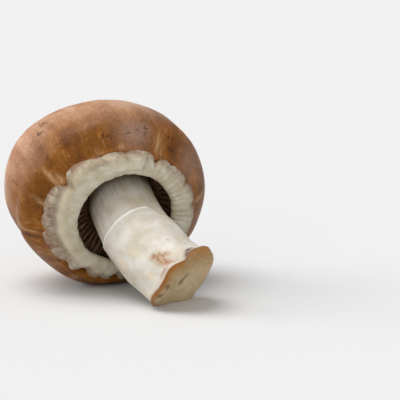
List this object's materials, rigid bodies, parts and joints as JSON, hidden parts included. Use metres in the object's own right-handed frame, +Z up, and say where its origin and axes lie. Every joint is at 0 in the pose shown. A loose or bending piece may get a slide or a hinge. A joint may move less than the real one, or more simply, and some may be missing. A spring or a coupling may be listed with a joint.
{
  "type": "button mushroom",
  "caption": "Whole brown button mushroom lying on its side: leaning domed cap, curled-in margin with torn cream veil, dark gills in the hollow, bent white stem with an oblique cut end",
  "frame": {"origin": "On the surface that the mushroom lies on, under the middle of its outline.", "axes": "+Z is up. The stem points to -Y and dips to the surface, and the top of the cap faces +Y. +X is to the right as seen from the stem's end."},
  "size_m": [0.0536, 0.0633, 0.0508],
  "materials": {
    "cap_skin": "warm brown satin mushroom skin with fine radial fibres, darker toward the margin",
    "gill_flesh": "very dark brown, matt, thin gills",
    "veil_flesh": "cream white, soft, matt torn veil",
    "stem_flesh": "white to beige, soft satin flesh, browned at the cut"
  },
  "bodies": {
    "root": {"cap": "cap_skin", "gills": "gill_flesh", "veil": "veil_flesh", "stem": "stem_flesh"}
  },
  "joints": []
}
